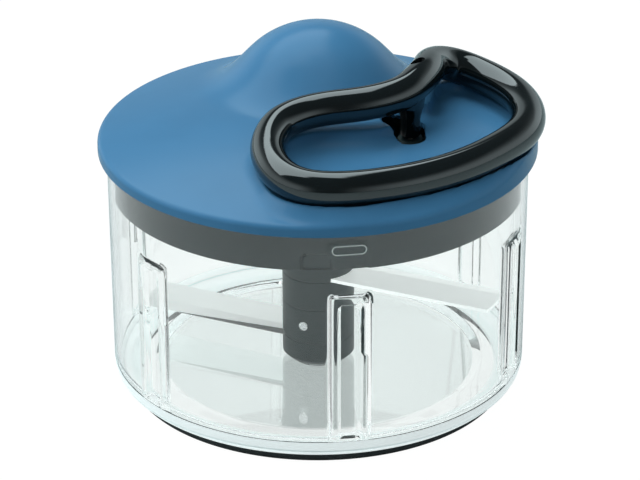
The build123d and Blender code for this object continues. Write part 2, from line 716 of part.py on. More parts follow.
def cord_guide():
    """Bush that stands on the deck and turns the cord upwards."""
    at = Pos(CORD_TOP.X, CORD_TOP.Y)
    body = at * (ring(0, GUIDE_R, DECK_TOP_Z, GUIDE_TOP_Z) + ring(0, GUIDE_FOOT_R, DECK_Z, DECK_TOP_Z))
    body = chamfer(body.edges().group_by(Axis.Z)[-1], GUIDE_R / 6)
    return body - sweep_circle(cord_path(0.3, GUIDE_TOP_Z + 1), GUIDE_BORE_R)


# ---------------------------------------------------------------- handle
def cord_stub():
    """Waisted stub under the snout, which the cord comes up through."""
    under = CORD_TOP.Z - TUBE_R
    flare = under - STUB_FLARE_H
    with BuildPart() as body:
        with BuildSketch(Plane.XZ):
            with BuildLine():
                Polyline(
                    (STUB_LOW_R, flare),
                    (STUB_LOW_R, STUB_BOTTOM_Z),
                    (0, STUB_BOTTOM_Z),
                    (0, CORD_TOP.Z - 1),
                    (STUB_HIGH_R, CORD_TOP.Z - 1),
                    (STUB_HIGH_R, under + 1),
                )
                TangentArc((STUB_LOW_R, flare), (STUB_HIGH_R, under + 1), tangent=(0, 1))
            make_face()
        revolve(axis=Axis.Z)
    return Pos(CORD_TOP.X, CORD_TOP.Y) * body.part


def knot_pocket(radius):
    """Slanting pocket from the cord's top end to a mouth on the tube's shoulder."""
    mouth = Vector(*KNOT_MOUTH)
    reach = mouth - CORD_TOP
    hole = Plane(origin=CORD_TOP, z_dir=reach) * extrude(Circle(radius), reach.length + TUBE_R)
    return hole + Pos(CORD_TOP) * Sphere(radius)


def pull_handle():
    body = loop_tube(TUBE_R) + cord_stub()
    bore = ring(0, CORD_R + FREE_GAP, STUB_BOTTOM_Z - 1, CORD_TOP.Z)
    body -= Pos(CORD_TOP.X, CORD_TOP.Y) * bore
    return body - knot_pocket(KNOT_POCKET_R)


def cord_knot():
    ball = Pos(CORD_TOP) * Sphere(KNOT_POCKET_R - SLIP_FIT)
    reach = Vector(*KNOT_MOUTH) - CORD_TOP
    tail = Plane(origin=CORD_TOP, z_dir=reach) * extrude(Circle(CORD_R), reach.length / 2)
    return ball + tail


# ---------------------------------------------------------------- all pieces
NODES = {
    "bowl": bowl,
    "foot_ring": foot_ring,
    "pivot_pin": pivot_pin,
    "hub_foot": hub_foot,
    "hub_lower_sleeve": hub_lower_sleeve,
    "hub_upper_sleeve": hub_upper_sleeve,
    "hub_top": hub_top,
    "hub_core": hub_core,
    "hub_rivets": lambda: rivet_rods(RIVET_HEAD),
    "blade_lower": lambda: blade(LOW_BLADE_Z, LOW_BLADE_DEG),
    "blade_upper": lambda: blade(HIGH_BLADE_Z, HIGH_BLADE_DEG),
    "lid_cover": lid_cover,
    "lid_base": lid_base,
    "housing_screws": housing_screws,
    "thrust_washer": thrust_washer,
    "lid_axle": lid_axle,
    "spring_arbor": spring_arbor,
    "power_spring": power_spring,
    "cord_spool": spool,
    "spring_cover": spring_cover,
    "cord_winding": cord_winding,
    "cord_guide": cord_guide,
    "cord_run": cord_run,
    "pull_handle": pull_handle,
    "cord_knot": cord_knot,
}

for name, make in NODES.items():
    export_step(make(), "parts/%s.step" % name)
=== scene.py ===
# %% [markdown]
# # A pull-cord food chopper
# A clear bowl stands on a soft black ring. A dark column with two blades turns in it. The blue
# lid holds a cord spool, and a black looped handle pulls the cord. The solids come in first as a
# fixed frame, in metres, with Z up and the user on the -Y side. Working pieces that already have
# their true shape keep it and only get a finish; what the eye lands on is modelled again, finer.

# %% Load the frame
from math import cos, degrees, hypot, pi, radians, sin, tan

import bpy
import numpy as np
from mathutils import Matrix, Vector


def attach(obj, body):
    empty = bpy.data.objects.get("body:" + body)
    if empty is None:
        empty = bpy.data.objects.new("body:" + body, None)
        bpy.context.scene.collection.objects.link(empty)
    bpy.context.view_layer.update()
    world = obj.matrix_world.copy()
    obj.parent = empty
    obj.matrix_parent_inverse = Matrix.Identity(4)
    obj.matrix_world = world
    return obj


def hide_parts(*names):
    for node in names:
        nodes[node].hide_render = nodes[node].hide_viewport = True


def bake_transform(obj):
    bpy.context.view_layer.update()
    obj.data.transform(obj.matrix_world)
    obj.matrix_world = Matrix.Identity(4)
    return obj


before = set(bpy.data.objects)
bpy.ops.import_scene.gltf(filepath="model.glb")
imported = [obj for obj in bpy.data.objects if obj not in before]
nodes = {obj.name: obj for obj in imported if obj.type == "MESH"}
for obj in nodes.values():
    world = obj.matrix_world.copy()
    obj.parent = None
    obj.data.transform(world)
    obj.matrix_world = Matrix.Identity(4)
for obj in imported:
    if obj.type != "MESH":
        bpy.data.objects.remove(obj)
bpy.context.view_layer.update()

MM = 0.001

# %% [markdown]
# ## The camera
# The photo looks down at the lid from about 26 degrees, from far away, so that upright edges stay
# nearly parallel. A long lens gives that. The small shift moves the chopper left of the middle.

# %% Camera
PHOTO_W, PHOTO_H = 640, 480
CAM_AT = Vector((0.0, -1.0762, 0.5709))
CAM_AIM = Vector((0.0, 0.0, 0.040))
LENS_PIXELS = 3457.2
ROLL_DEG = -0.21

camera = bpy.data.objects.new("camera", bpy.data.cameras.new("camera"))
bpy.context.scene.collection.objects.link(camera)
camera.data.sensor_width = 36.0
camera.data.lens = LENS_PIXELS / PHOTO_W * camera.data.sensor_width
camera.data.shift_x = 0.0028
camera.data.shift_y = 0.0425
camera.data.clip_start = 0.05
look = (CAM_AIM - CAM_AT).to_track_quat("-Z", "Y").to_matrix().to_4x4()
camera.matrix_world = Matrix.Translation(CAM_AT) @ look @ Matrix.Rotation(radians(ROLL_DEG), 4, "Z")
bpy.context.scene.camera = camera
bpy.context.scene.view_settings.view_transform = "Standard"
print("lens %.1f mm" % camera.data.lens)

# %% [markdown]
# ## Writing materials as expressions
# A material is a graph of nodes. Written out link by link it is hard to read, so one small class
# wraps a socket: adding or multiplying two of them adds the Math node that does it.

# %% Node helpers
class Sock:
    """A node's output that can be used in an expression."""

    def __init__(self, tree, socket):
        self.tree, self.socket = tree, socket

    def node(self, kind, settings=None, out=0, **inputs):
        made = self.tree.nodes.new(kind)
        for name, value in (settings or {}).items():
            setattr(made, name, value)
        for name, value in inputs.items():
            key = int(name[1:]) if name[1:].isdigit() else name.replace("_", " ")
            target = made.inputs[key]
            if isinstance(value, Sock):
                self.tree.links.new(value.socket, target)
            else:
                target.default_value = value
        return Sock(self.tree, made.outputs[out])

    def maths(self, operation, *values):
        named = {"i%d" % i: value for i, value in enumerate(values)}
        return self.node("ShaderNodeMath", {"operation": operation}, **named)

    def __add__(self, other):
        return self.maths("ADD", self, other)

    def __radd__(self, other):
        return self.maths("ADD", other, self)

    def __sub__(self, other):
        return self.maths("SUBTRACT", self, other)

    def __rsub__(self, other):
        return self.maths("SUBTRACT", other, self)

    def __mul__(self, other):
        return self.maths("MULTIPLY", self, other)

    def __rmul__(self, other):
        return self.maths("MULTIPLY", other, self)

    def power(self, other):
        return self.maths("POWER", self, other)

    def step(self, low, high):
        """0 below low, 1 above high, smooth between."""
        return self.node(
            "ShaderNodeMapRange", {"interpolation_type": "SMOOTHSTEP"}, i0=self, i1=low, i2=high
        )

    def between(self, one, other):
        """Mixes two colours by this socket."""
        return self.node("ShaderNodeMix", {"data_type": "RGBA"}, out=2, i0=self, i6=one, i7=other)


def material(name):
    """A new material, its shader node, and a Sock on object coordinates."""
    made = bpy.data.materials.new(name)
    made.use_nodes = True
    shader = made.node_tree.nodes["Principled BSDF"]
    start = Sock(made.node_tree, None)
    place = start.node("ShaderNodeTexCoord", out=3)
    return made, shader, place


def feed(shader, name, value):
    """Sets a shader's socket to a number or colour, or links a Sock to it."""
    if isinstance(value, Sock):
        value.tree.links.new(value.socket, shader.inputs[name])
    else:
        shader.inputs[name].default_value = value


def noise(place, scale, detail=2.0, roughness=0.5):
    return place.node(
        "ShaderNodeTexNoise", out=0, Vector=place, Scale=scale, Detail=detail, Roughness=roughness
    )


def bump(place, height, strength, distance):
    return place.node("ShaderNodeBump", i0=strength, i1=distance, Height=height)


def part_of(place, axis):
    """One coordinate of a position."""
    return place.node("ShaderNodeSeparateXYZ", out="XYZ".index(axis), i0=place)


def colour(red, green, blue):
    return (red, green, blue, 1.0)


print("node helpers ready")

# %% [markdown]
# ## Blue lid plastic
# The lid is glossy moulded plastic. Real mouldings are never one flat colour: the flow of the melt
# leaves a faint cloudiness, fingers leave duller patches, and tiny scratches show only in the gloss.

# %% Lid material
def glossy_plastic(name, base, rough, cloud, smear, ior, gloss):
    made, shader, place = material(name)
    clouds = noise(place, 28.0, 3.0)
    dark = colour(*[c * (1 - cloud) for c in base])
    light = colour(*[min(1.0, c * (1 + cloud)) for c in base])
    feed(shader, "Base Color", clouds.step(0.35, 0.65).between(dark, light))
    smears = noise(place, 90.0, 4.0, 0.6).step(0.5, 0.75)
    feed(shader, "Roughness", smears * smear + rough)
    ripple = noise(place, 240.0, 2.0)
    feed(shader, "Normal", bump(place, ripple, 0.04, 0.0003))
    shader.inputs["IOR"].default_value = ior
    shader.inputs["Specular IOR Level"].default_value = gloss
    return made


LID_BLUE = (0.055, 0.185, 0.345)
lid_blue = glossy_plastic("lid_blue", LID_BLUE, 0.24, 0.03, 0.03, 1.5, 0.16)
handle_black = glossy_plastic("handle_black", (0.003, 0.006, 0.007), 0.06, 0.3, 0.02, 1.8, 0.5)
print("glossy plastics ready")

# %% [markdown]
# ## Dark column and collar plastic
# The collar and the column are dark grey-green plastic with a fine spark-eroded grain. The grain is
# a small bump, and the colour varies a little where it was handled.

# %% Grained plastic
def grained_plastic(name, base, rough, grain=0.25, size=1500.0):
    made, shader, place = material(name)
    clouds = noise(place, 40.0, 3.0)
    dark = colour(*[c * 0.9 for c in base])
    light = colour(*[c * 1.12 for c in base])
    feed(shader, "Base Color", clouds.step(0.35, 0.65).between(dark, light))
    fine = noise(place, size, 2.0)
    feed(shader, "Roughness", fine * 0.12 + rough)
    feed(shader, "Normal", bump(place, fine, grain, 0.00015))
    shader.inputs["Specular IOR Level"].default_value = 0.3
    return made


dark_plastic = grained_plastic("dark_plastic", (0.018, 0.033, 0.034), 0.38)
foot_rubber = grained_plastic("foot_rubber", (0.010, 0.013, 0.015), 0.6, 0.4, 900.0)
white_plastic = grained_plastic("white_plastic", (0.78, 0.78, 0.75), 0.4)
print("grained plastics ready")

# %% [markdown]
# ## Steel
# The blades are ground flat, so fine lines run along them, at an angle to X. The turned pin and
# axle have rings instead. Both come from noise that is stretched in one direction.

# %% Steel
BLADE_HALF_W = 17.5 / 2


def ground_steel(name, base, turn_deg, rough, metal=1.0, glow=0.0, edge_mm=0.0):
    made, shader, place = material(name)
    turned = place.node(
        "ShaderNodeMapping", Vector=place, Rotation=(0, 0, radians(-turn_deg)), Scale=(0.06, 1, 1)
    )
    lines = noise(turned, 2600.0, 3.0, 0.6)
    wide = noise(turned, 400.0, 2.0)
    dark = colour(*[c * 0.92 for c in base])
    ground = lines.step(0.25, 0.75).between(dark, colour(*base))
    # Painted shade: a dark band along the lower blade's cutting edge, for the bevel turned from the
    # light.
    if edge_mm:
        straight = place.node("ShaderNodeMapping", Vector=place, Rotation=(0, 0, radians(-turn_deg)))
        taper = part_of(straight, "X") * (edge_mm / 52.0) - edge_mm * MM
        edge = (part_of(straight, "Y") - BLADE_HALF_W * MM - taper).step(0.0, 0.0002)
        ground = edge.between(ground, colour(*[c * 0.17 for c in base]))
    feed(shader, "Base Color", ground)
    feed(shader, "Roughness", wide * 0.16 + rough)
    feed(shader, "Normal", bump(place, lines, 0.12, 0.0001))
    shader.inputs["Metallic"].default_value = metal
    # Painted light: the blades glow a little, in place of the lamp light the clear bowl keeps from
    # them.
    if glow:
        feed(shader, "Emission Color", ground)
        shader.inputs["Emission Strength"].default_value = glow
    return made


BLADE_WHITE = (0.84, 0.88, 0.87)
blade_low_steel = ground_steel("blade_low_steel", BLADE_WHITE, 155.5, 0.35, 0.5, 0.42, 3.4)
blade_high_steel = ground_steel("blade_high_steel", BLADE_WHITE, -24.5, 0.35, 0.5, 0.62)
turned_steel = ground_steel("turned_steel", (0.66, 0.67, 0.68), 0.0, 0.2)
spring_steel = ground_steel("spring_steel", (0.30, 0.33, 0.38), 0.0, 0.25)
print("steels ready")

# %% [markdown]
# ## Braided cord
# A braid shows as two sets of slanting strands. Two sine waves of height and angle round the Z axis
# cross each other and give the diamond pattern.

# %% Cord material
def braid(name, base, strand):
    made, shader, place = material(name)
    height = part_of(place, "Z")
    along = height * (2 * pi / strand)
    side = (part_of(place, "X") + part_of(place, "Y")) * (2 * pi / strand)
    one = (along + side).maths("SINE", along + side)
    two = (along - side).maths("SINE", along - side)
    weave = (one * two).step(-0.6, 0.6)
    dark = colour(*[c * 0.6 for c in base])
    feed(shader, "Base Color", weave.between(dark, colour(*base)))
    feed(shader, "Roughness", weave * 0.1 + 0.75)
    feed(shader, "Normal", bump(place, weave, 0.5, 0.0003))
    return made


cord_braid = braid("cord_braid", (0.80, 0.79, 0.73), 0.0014)
print("cord ready")

# %% [markdown]
# ## Clear bowl plastic
# The bowl is clear with a faint grey-green cast, which is only seen where the wall is looked at
# edge on. Each pass through a surface takes a little red away, so thick edges come out greener.

# %% Clear plastic
def clear_plastic(name, tint, rough, sheen=0.0, gloss=0.5):
    made, shader, place = material(name)
    clouds = noise(place, 18.0, 2.0)
    light = colour(*[min(1.0, c * 1.01) for c in tint])
    feed(shader, "Base Color", clouds.step(0.3, 0.7).between(colour(*tint), light))
    scuffs = noise(place, 160.0, 4.0, 0.65).step(0.62, 0.8)
    feed(shader, "Roughness", scuffs * 0.05 + rough)
    ripple = noise(place, 60.0, 1.0)
    feed(shader, "Normal", bump(place, ripple, 0.03, 0.0004))
    shader.inputs["Transmission Weight"].default_value = 1.0
    shader.inputs["IOR"].default_value = 1.49
    shader.inputs["Specular IOR Level"].default_value = gloss
    if sheen:
        feed(shader, "Coat Weight", clouds.step(0.3, 0.7) * 0.1 + sheen)
        shader.inputs["Coat IOR"].default_value = 2.6
    return made


bowl_clear = clear_plastic("bowl_clear", (0.945, 0.970, 0.964), 0.015, gloss=0.28)
# The floor's darker grey-green is partly the plastic's own cast and partly painted shade for the
# shadowed table seen through it.
floor_clear = clear_plastic("floor_clear", (0.78, 0.85, 0.84), 0.02, 0.9)
print("clear plastic ready")

# %% [markdown]
# The bowl's thick lower corner gathers light from the whole wall and looks like pale frosted
# plastic, with one darker line round it. A clear shader alone would show the black foot through
# it, so the corner lets less light through and glows: painted light, with a band of painted shade
# for the darker line.

# %% Frosted corner, with painted glow and painted shade
CORNER_GLOW, CORNER_PAINTED_SHADE = (0.78, 0.83, 0.83), (0.38, 0.44, 0.44)


def frost_and_glow_corner(name):
    made = clear_plastic(name, (0.72, 0.78, 0.775), 0.3)
    shader = made.node_tree.nodes["Principled BSDF"]
    shader.inputs["Transmission Weight"].default_value = 0.3
    # Painted light: the corner glows pale, though no lamp is in it.
    shader.inputs["Emission Strength"].default_value = 0.62
    place = Sock(made.node_tree, None).node("ShaderNodeTexCoord", out=3)
    height = part_of(place, "Z") + noise(place, 30.0) * 0.0006
    # A band of painted shade: the glow is darker between 6.2 and 7.3 mm up.
    line = height.step(0.0062, 0.0065) * (1 - height.step(0.0069, 0.0073))
    feed(shader, "Emission Color", line.between(colour(*CORNER_GLOW), colour(*CORNER_PAINTED_SHADE)))
    return made


base_frost_glow = frost_and_glow_corner("base_frost_glow")
print("frosted corner ready")

# %% Give the carried-over nodes their finishes
FINISHES = {
    "bowl": bowl_clear,
    "foot_ring": foot_rubber,
    "pivot_pin": turned_steel,
    "hub_foot": dark_plastic,
    "hub_lower_sleeve": dark_plastic,
    "hub_upper_sleeve": dark_plastic,
    "hub_top": dark_plastic,
    "hub_core": turned_steel,
    "hub_rivets": turned_steel,
    "blade_lower": blade_low_steel,
    "blade_upper": blade_high_steel,
    "lid_cover": lid_blue,
    "lid_base": dark_plastic,
    "housing_screws": turned_steel,
    "thrust_washer": white_plastic,
    "lid_axle": turned_steel,
    "spring_arbor": white_plastic,
    "power_spring": spring_steel,
    "cord_spool": white_plastic,
    "spring_cover": white_plastic,
    "cord_winding": cord_braid,
    "cord_guide": dark_plastic,
    "cord_run": cord_braid,
    "pull_handle": handle_black,
    "cord_knot": cord_braid,
}
for name, finish in FINISHES.items():
    slots = nodes[name].material_slots
    for place in slots:
        place.material = finish
print("finished nodes:", len(FINISHES))

# %% [markdown]
# ## Modelling helpers
# Most pieces of a chopper are round, so they are turned, as on a lathe: an outline is drawn as a
# chain of extruded points and spun about the Z axis. Rounded corners are worked out beforehand.

# %% Lathe
def deselect():
    bpy.ops.object.select_all(action="DESELECT")


def rounded(points, radii):
    """An outline in millimetres with arcs of the given radius at its inner corners."""
    done = [Vector(points[0])]
    for before, corner, after, radius in zip(points, points[1:], points[2:], radii):
        corner, before, after = Vector(corner), Vector(before), Vector(after)
        if radius <= 0:
            done.append(corner)
            continue
        back, ahead = (before - corner).normalized(), (after - corner).normalized()
        half = back.angle(ahead) / 2
        middle = corner + (back + ahead).normalized() * radius / sin(half)
        start = corner + back * radius / tan(half)
        end = corner + ahead * radius / tan(half)
        count = max(3, int(degrees(pi - 2 * half) / 12))
        for k in range(count + 1):
            blend = start.lerp(end, k / count) - middle
            done.append(middle + blend.normalized() * radius)
    done.append(Vector(points[-1]))
    return done


def lathe(name, outline, steps):
    """Spins an outline of (radius, height) points in millimetres about the Z axis."""
    deselect()
    bpy.ops.mesh.primitive_plane_add(size=MM)
    piece = bpy.context.object
    piece.name = name
    bpy.ops.object.mode_set(mode="EDIT")
    bpy.ops.mesh.merge(type="CENTER")
    spots = [Vector((p[0] * MM, 0, p[1] * MM)) for p in outline]
    bpy.ops.transform.translate(value=spots[0])
    for here, there in zip(spots, spots[1:]):
        bpy.ops.mesh.extrude_region_move(TRANSFORM_OT_translate={"value": there - here})
    bpy.ops.mesh.select_all(action="SELECT")
    bpy.ops.mesh.spin(steps=steps, angle=2 * pi, center=(0, 0, 0), axis=(0, 0, 1))
    bpy.ops.mesh.select_all(action="SELECT")
    bpy.ops.mesh.remove_doubles(threshold=1e-6)
    bpy.ops.mesh.normals_make_consistent(inside=False)
    bpy.ops.object.mode_set(mode="OBJECT")
    return piece


def smooth(piece, angle_deg=35):
    deselect()
    piece.select_set(True)
    bpy.context.view_layer.objects.active = piece
    bpy.ops.object.shade_smooth_by_angle(angle=radians(angle_deg))


def dress(piece, finish, slot, body, *stands_for):
    """Gives a finished piece its material, its body and the nodes it stands for."""
    piece.data.materials.clear()
    piece.data.materials.append(finish)
    if stands_for:
        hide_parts(*stands_for)
    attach(piece, body)
    print(piece.name, "faces:", len(piece.data.polygons))
    return piece


def coordinates(piece):
    """All vertex positions of a piece, in millimetres."""
    flat = np.empty(len(piece.data.vertices) * 3)
    piece.data.vertices.foreach_get("co", flat)
    return flat.reshape(-1, 3) / MM


def move_to(piece, spots):
    piece.data.vertices.foreach_set("co", (spots * MM).ravel())
    piece.data.update()


def choose(piece, wanted):
    """Opens a piece in edit mode with just the wanted points selected."""
    deselect()
    piece.select_set(True)
    bpy.context.view_layer.objects.active = piece
    mesh = piece.data
    mesh.polygons.foreach_set("select", np.zeros(len(mesh.polygons), bool))
    mesh.edges.foreach_set("select", np.zeros(len(mesh.edges), bool))
    mesh.vertices.foreach_set("select", np.asarray(wanted, bool))
    bpy.ops.object.mode_set(mode="EDIT")


def ease(values, low, high):
    """0 below low, 1 above high, smooth between."""
    t = np.clip((values - low) / (high - low), 0, 1)
    return t * t * (3 - 2 * t)


print("lathe ready")

# %% [markdown]
# ## The bowl
# The bowl is one clear moulding: a drafted wall, a flat floor with a step, and six upright channels
# that are pressed into the wall. It is turned first. Then every point near a channel is moved
# towards the axis, outside and inside by different amounts, which leaves a rib of even thickness.

# %% Sizes of the bowl
BOWL_TOP_R, BOWL_TOP_Z, BOWL_UNDER_Z, BOWL_WALL = 72.0, 87.2, 3.2, 2.0
WALL_FROM_R, WALL_ROW, BOWL_STEPS = 60.0, 1.4, 480
DRAFT = tan(radians(0.5))
FLOOR_Z, FLOOR_R, STEP_H, STEP_W = 6.7, 54.0, 1.5, 3.0
CHANNEL_DEGS = [-81.6 + 60 * k for k in range(6)]
CHANNEL_HALF, RIB_HALF, CHANNEL_DEPTH, RIB_DEPTH = 3.7, 6.3, 1.9, 2.2
CHANNEL_Z0, CHANNEL_Z1 = 12.0, 61.0
LUG_DEGS = [-81.9 + 120 * k for k in range(3)]
ARCH_TURN_DEG = -8.4


def wall_r(z):
    return BOWL_TOP_R - (BOWL_TOP_Z - z) * DRAFT


def subdivided(outline, longest):
    """Adds points near the wall so that no run of an outline is longer than a length."""
    done = [outline[0]]
    for here, there in zip(outline, outline[1:]):
        inner = max(here[0], there[0]) < WALL_FROM_R
        count = 1 if inner else max(1, int((there - here).length / longest + 0.999))
        done += [here.lerp(there, k / count) for k in range(1, count + 1)]
    return done


print("bowl's foot is %.1f mm across" % (2 * wall_r(BOWL_UNDER_Z)))

# %% Turn the bowl
FROST_FROM_R, FROST_TOP_Z = 61.5, FLOOR_Z + 1.4
FROST_OUTSIDE_R, FROST_OUTSIDE_Z = 70.2, FLOOR_Z + 3.0
low_r = wall_r(BOWL_UNDER_Z)
ring_z = FLOOR_Z + STEP_H
bowl_outline = rounded(
    [
        (0, FLOOR_Z),
        (FLOOR_R, FLOOR_Z),
        (FLOOR_R + STEP_W, ring_z),
        (wall_r(ring_z) - BOWL_WALL, ring_z),
        (BOWL_TOP_R - BOWL_WALL, BOWL_TOP_Z),
        (BOWL_TOP_R, BOWL_TOP_Z),
        (low_r, BOWL_UNDER_Z),
        (FROST_FROM_R, BOWL_UNDER_Z),
        (0, BOWL_UNDER_Z),
    ],
    [0.8, 0.8, 4.5, 0.5, 0.6, 5.5, 0, 0],
)
bowl_glass = lathe("bowl_glass", subdivided(bowl_outline, WALL_ROW), BOWL_STEPS)
print("bowl points:", len(bowl_glass.data.vertices))

# %% Press in the channels and lugs
RIDGE = 0.35
LUG_DEPTH, LUG_Z0, LUG_Z1 = 0.8, 79.4, 82.8
spots = coordinates(bowl_glass)
radius = np.hypot(spots[:, 0], spots[:, 1])
angle = np.degrees(np.arctan2(spots[:, 1], spots[:, 0]))
height = spots[:, 2]
middle_wall = BOWL_TOP_R - (BOWL_TOP_Z - height) * DRAFT - BOWL_WALL / 2
outside = radius > middle_wall
on_wall = ease(radius, 62.0, 66.0)
moved = np.zeros(len(spots))
for centre in CHANNEL_DEGS:
    off = np.abs((angle - centre + 180) % 360 - 180) * pi / 180 * radius
    cut = (1 - ease(off, CHANNEL_HALF - 0.7, CHANNEL_HALF + 0.5)) * CHANNEL_DEPTH
    cut *= ease(height, CHANNEL_Z0 - 0.7, CHANNEL_Z0 + 0.7)
    cut *= 1 - ease(height, CHANNEL_Z1 - 0.8, CHANNEL_Z1 + 0.6)
    ridge = (1 - ease(off, RIB_HALF - 0.6, RIB_HALF + 0.5)) * RIDGE
    ridge *= ease(height, CHANNEL_Z0 - 2.0, CHANNEL_Z0)
    ridge *= 1 - ease(height, CHANNEL_Z1 + 2.0, CHANNEL_Z1 + 3.2)
    rib = (1 - ease(off, RIB_HALF - 0.8, RIB_HALF + 0.6)) * RIB_DEPTH
    rib *= ease(height, FLOOR_Z + 1.0, FLOOR_Z + 3.5)
    rib *= 1 - ease(height, CHANNEL_Z1 + 1.6, CHANNEL_Z1 + 3.4)
    moved += np.where(outside, cut - ridge, rib * on_wall)
for centre in LUG_DEGS:
    off = np.abs((angle - centre + 180) % 360 - 180) * pi / 180 * radius
    lug = (1 - ease(off, 5.0, 5.8)) * LUG_DEPTH
    lug *= ease(height, LUG_Z0, LUG_Z0 + 0.8) * (1 - ease(height, LUG_Z1 - 0.8, LUG_Z1))
    moved += np.where(outside, 0, lug * on_wall)
spots[:, 0] *= (radius - moved) / np.maximum(radius, 1e-6)
spots[:, 1] *= (radius - moved) / np.maximum(radius, 1e-6)
move_to(bowl_glass, spots)
smooth(bowl_glass, 50)
dress(bowl_glass, bowl_clear, "clear", "bowl_body", "bowl")

# %% Finishes of the bowl's floor and corner
bowl_glass.data.materials.append(floor_clear)
bowl_glass.data.materials.append(base_frost_glow)
centres = np.empty(len(bowl_glass.data.polygons) * 3)
bowl_glass.data.polygons.foreach_get("center", centres)
centres = centres.reshape(-1, 3) / MM
face_r = np.hypot(centres[:, 0], centres[:, 1])
kinds = np.where((face_r < FLOOR_R) & (centres[:, 2] < FLOOR_Z + 0.5), 1, 0)
kinds[(face_r > FROST_FROM_R) & (centres[:, 2] < FROST_TOP_Z)] = 2
kinds[(face_r > FROST_OUTSIDE_R) & (centres[:, 2] < FROST_OUTSIDE_Z)] = 2
bowl_glass.data.polygons.foreach_set("material_index", kinds)
print("floor faces: %d, corner faces: %d" % ((kinds == 1).sum(), (kinds == 2).sum()))

# %% Boss in the middle of the floor
boss_outline = rounded(
    [(3.05, 6.0), (3.05, 12.0), (7.0, 12.0), (7.0, 6.9), (9.0, 6.72)],
    [0.3, 0.8, 1.2],
)
boss_outline += [Vector((9.0, 6.0)), Vector((3.05, 6.0))]
floor_boss = lathe("floor_boss", boss_outline, 96)
smooth(floor_boss, 40)
dress(floor_boss, bowl_clear, "clear", "bowl_body")

# %% [markdown]
# ## Painted highlights on the bayonet lugs
# The edge of each lug catches the light as a bright oval line on the wall. That highlight is
# painted: a thin closed tube of white plastic that follows the wall.

# %% Lug highlights
def ring_tube(name, points, tube_r):
    """A closed round tube through points in millimetres."""
    deselect()
    bpy.ops.curve.primitive_nurbs_circle_add(radius=0.05)
    tube = bpy.context.object
    shape = tube.data
    shape.splines.clear()
    spline = shape.splines.new("NURBS")
    spline.points.add(len(points) - 1)
    for point, spot in zip(spline.points, points):
        point.co = (*[c * MM for c in spot], 1)
    spline.use_cyclic_u = True
    spline.order_u = 3
    spline.resolution_u = 16 if len(points) < 20 else 3
    shape.dimensions = "3D"
    shape.bevel_depth = tube_r * MM
    shape.bevel_resolution = 14 if tube_r > 1 else 3
    bpy.ops.object.convert(target="MESH")
    tube = bpy.context.object
    tube.name = name
    smooth(tube, 60)
    return tube


LUG_HALF_W, LUG_HALF_H, LUG_MID_Z, LUG_HIGHLIGHT_R, LUG_HIGHLIGHT_POINTS = 5.6, 1.55, 81.1, 0.22, 32
for number, centre in enumerate(LUG_DEGS):
    highlight_line = []
    for k in range(LUG_HIGHLIGHT_POINTS):
        turn_k = 2 * pi * k / LUG_HIGHLIGHT_POINTS
        side = LUG_HALF_W - LUG_HALF_H if cos(turn_k) > 0 else LUG_HALF_H - LUG_HALF_W
        along, up = side + LUG_HALF_H * cos(turn_k), LUG_HALF_H * sin(turn_k)
        place_deg = radians(centre) + along / BOWL_TOP_R
        wall = wall_r(LUG_MID_Z) + 0.05
        highlight_line.append((wall * cos(place_deg), wall * sin(place_deg), LUG_MID_Z + up))
    lug_highlight = ring_tube("lug_edge_%d" % (number + 1), highlight_line, LUG_HIGHLIGHT_R)
    # Painted highlight: the white tube stands where the lug's edge only catches light.
    dress(lug_highlight, white_plastic, "clear", "bowl_body")

# %% [markdown]
# ## The soft foot
# A black ring of soft plastic sits in a groove under the bowl. It is turned with a rounded tread.
# Its top is painted pale, painted light for the bright bowl corner seen above it, so that little
# black shows from above.

# %% Foot
foot_tread, foot_shader, foot_place = material("foot_tread")
# Painted light: the black foot's top is pale.
painted_light_top = part_of(foot_place, "Z").step(0.0026, 0.0029)
TREAD_DARK, TREAD_WORN, TREAD_PAINTED_LIGHT = (0.009, 0.012, 0.013), (0.016, 0.019, 0.020), (0.72, 0.79, 0.78)
tread_wear = noise(foot_place, 60.0).between(colour(*TREAD_DARK), colour(*TREAD_WORN))
feed(foot_shader, "Base Color", painted_light_top.between(tread_wear, colour(*TREAD_PAINTED_LIGHT)))
feed(foot_shader, "Roughness", noise(foot_place, 300.0) * 0.2 + 0.45)
foot_outline = rounded(
    [(62.4, 3.1), (62.4, 0.0), (66.2, 0.0), (66.2, 3.1), (62.4, 3.1)],
    [1.2, 1.2, 0.2],
)
soft_foot = lathe("soft_foot", foot_outline, 240)
smooth(soft_foot, 50)
dress(soft_foot, foot_tread, "soft_black", "bowl_body", "foot_ring")

# %% [markdown]
# ## The dark collar
# The lid's dark base shows through the bowl as a collar. It has an arch-shaped entry beside each
# bayonet lug. It is turned, and the points of the entries are pressed in, with soft edges.

# %% Collar
COLLAR_R, COLLAR_IN_R, COLLAR_Z0, COLLAR_Z1 = 69.6, 67.4, 73.2, 87.3
COLLAR_ROW, COLLAR_STEPS = 1.0, 440
ARCH_DEPTH, WAY_DEPTH = 1.7, 0.6
DECK_Z0, DECK_Z1, HOLE_R, SHROUD_R0, SHROUD_R1 = 74.7, 76.9, 9.15, 13.3, 14.7
collar_outline = rounded(
    [
        (HOLE_R, DECK_Z1),
        (HOLE_R, DECK_Z0),
        (SHROUD_R0, DECK_Z0),
        (SHROUD_R0, 70.0),
        (SHROUD_R1, 70.0),
        (SHROUD_R1, DECK_Z0),
        (COLLAR_IN_R, DECK_Z0),
        (COLLAR_IN_R, COLLAR_Z0),
        (COLLAR_R, COLLAR_Z0),
        (COLLAR_R, COLLAR_Z1),
        (COLLAR_IN_R, COLLAR_Z1),
        (COLLAR_IN_R, DECK_Z1),
        (HOLE_R, DECK_Z1),
    ],
    [0.2, 0.2, 0.3, 0.3, 0.8, 0.8, 0.4, 0.5, 0.2, 0.2, 0.5],
)
collar = lathe("lid_collar", subdivided(collar_outline, COLLAR_ROW), COLLAR_STEPS)
print("collar points:", len(collar.data.vertices))

